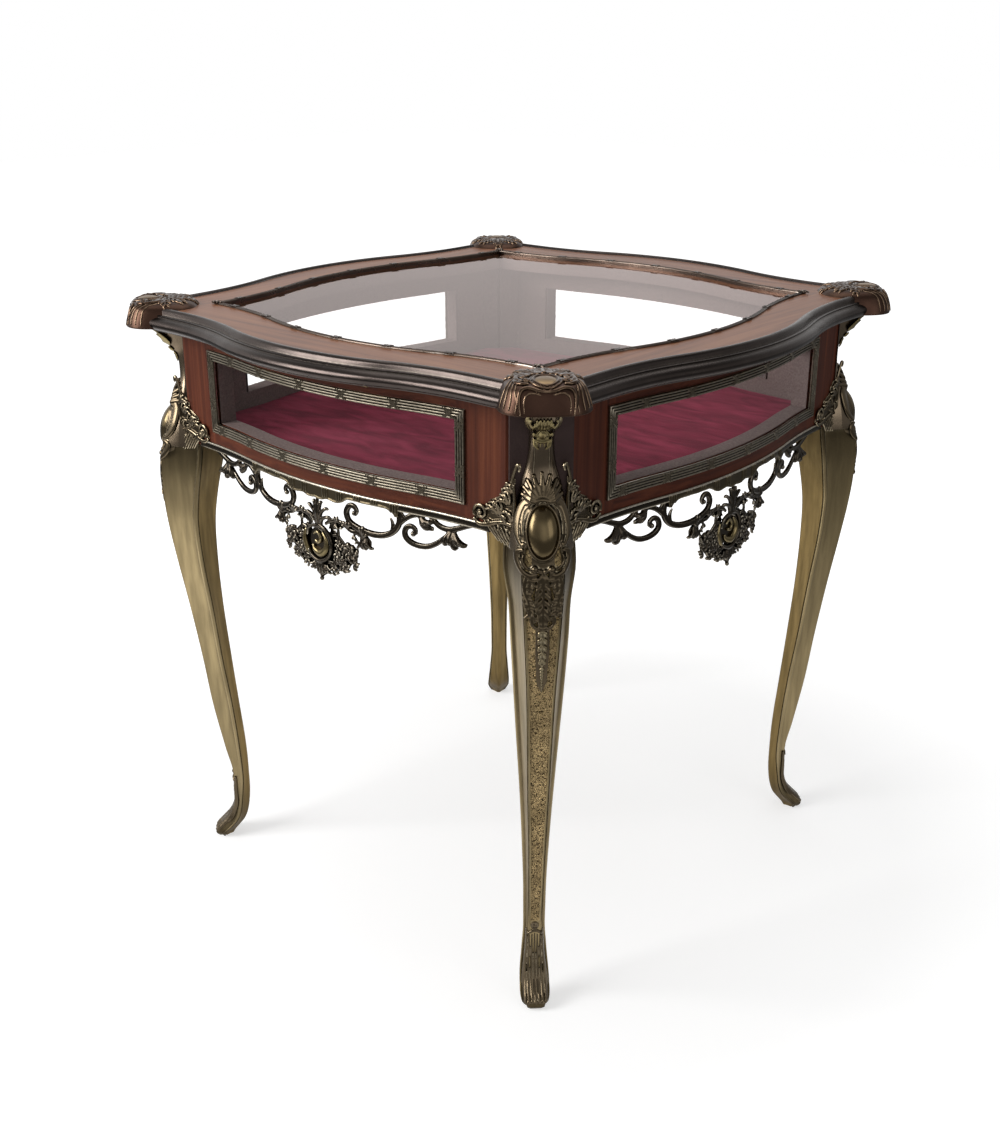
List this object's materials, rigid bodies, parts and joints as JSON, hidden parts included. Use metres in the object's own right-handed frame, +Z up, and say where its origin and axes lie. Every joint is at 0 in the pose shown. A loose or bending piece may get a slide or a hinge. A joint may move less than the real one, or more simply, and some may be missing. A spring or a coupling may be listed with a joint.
{
  "type": "display table",
  "caption": "Square glazed display case with bowed sides on cabriole legs, with pierced bronze aprons, a hinged glass lid and a lock.",
  "frame": {"origin": "on the floor, under the middle of the table", "axes": "+Z up; -Y the front, where the lock is; +Y the back, where the lid is hinged; +X to the right seen from the front"},
  "size_m": [0.756, 0.788, 0.766],
  "materials": {
    "mahogany": "satin polished",
    "top_veneer": "satin polished",
    "plywood": "plain",
    "glass": "clear",
    "pale_bronze": "antique, reeded",
    "bronze": "cast, dark patina, bright high points",
    "dark_bronze": "cast, dark patina, bright high points",
    "leg_brass": "cast, antique gold, dark in the recesses",
    "hinge_brass": "plain",
    "steel": "plain",
    "lining": "taupe cloth on card",
    "velvet": "crimson velvet"
  },
  "bodies": {
    "case": {"top_rail_front": "mahogany", "bottom_rail_front": "mahogany", "side_glass_front": "glass", "reed_frame_front": "pale_bronze", "apron_front": "bronze", "top_rail_back": "mahogany", "bottom_rail_back": "mahogany", "side_glass_back": "glass", "reed_frame_back": "pale_bronze", "apron_back": "bronze", "top_rail_left": "mahogany", "bottom_rail_left": "mahogany", "side_glass_left": "glass", "reed_frame_left": "pale_bronze", "apron_left": "bronze", "top_rail_right": "mahogany", "bottom_rail_right": "mahogany", "side_glass_right": "glass", "reed_frame_right": "pale_bronze", "apron_right": "bronze", "corner_post_front_left": "mahogany", "leg_front_left": "leg_brass", "corner_post_front_right": "mahogany", "leg_front_right": "leg_brass", "corner_post_back_left": "mahogany", "leg_back_left": "leg_brass", "corner_post_back_right": "mahogany", "leg_back_right": "leg_brass", "leg_bolts": "steel", "interior_lining": "lining", "base_board": "plywood", "velvet_pad": "velvet", "lock_body": "hinge_brass", "escutcheon": "pale_bronze", "hinge_case_leaf_left": "hinge_brass", "hinge_pin_left": "steel", "hinge_case_leaf_right": "hinge_brass", "hinge_pin_right": "steel", "hinge_screws_case": "steel"},
    "lid": {"lid_rail_front": "top_veneer", "edge_moulding_front": "dark_bronze", "lid_rail_back": "top_veneer", "edge_moulding_back": "dark_bronze", "lid_rail_left": "top_veneer", "edge_moulding_left": "dark_bronze", "lid_rail_right": "top_veneer", "edge_moulding_right": "dark_bronze", "corner_cap_front_left": "dark_bronze", "corner_cap_front_right": "dark_bronze", "corner_cap_back_left": "dark_bronze", "corner_cap_back_right": "dark_bronze", "lid_glass": "glass", "lid_glass_bead": "pale_bronze", "striker_plate": "hinge_brass", "hinge_lid_leaf_left": "hinge_brass", "hinge_lid_leaf_right": "hinge_brass", "hinge_screws_lid": "steel"},
    "lock_bolt": {"lock_bolt": "hinge_brass"},
    "key": {"key": "steel"}
  },
  "joints": [
    {"name": "lid_hinge", "type": "hinge", "parent": "case", "child": "lid", "pos_m": [0, 0.359, 0.7325], "axis": [-1, 0, 0], "range_deg": [0, 95]},
    {"name": "key_turn", "type": "hinge", "parent": "case", "child": "key", "pos_m": [0, -0.36, 0.716], "axis": [0, 1, 0], "range_deg": [0, 180]},
    {"name": "bolt_slide", "type": "slide", "parent": "case", "child": "lock_bolt", "axis": [0, 0, 1], "range_m": [0, 0.0058]}
  ],
  "couplings": [
    {"joint": "key_turn", "follows": "bolt_slide", "rad_per_m": 541.65}
  ]
}
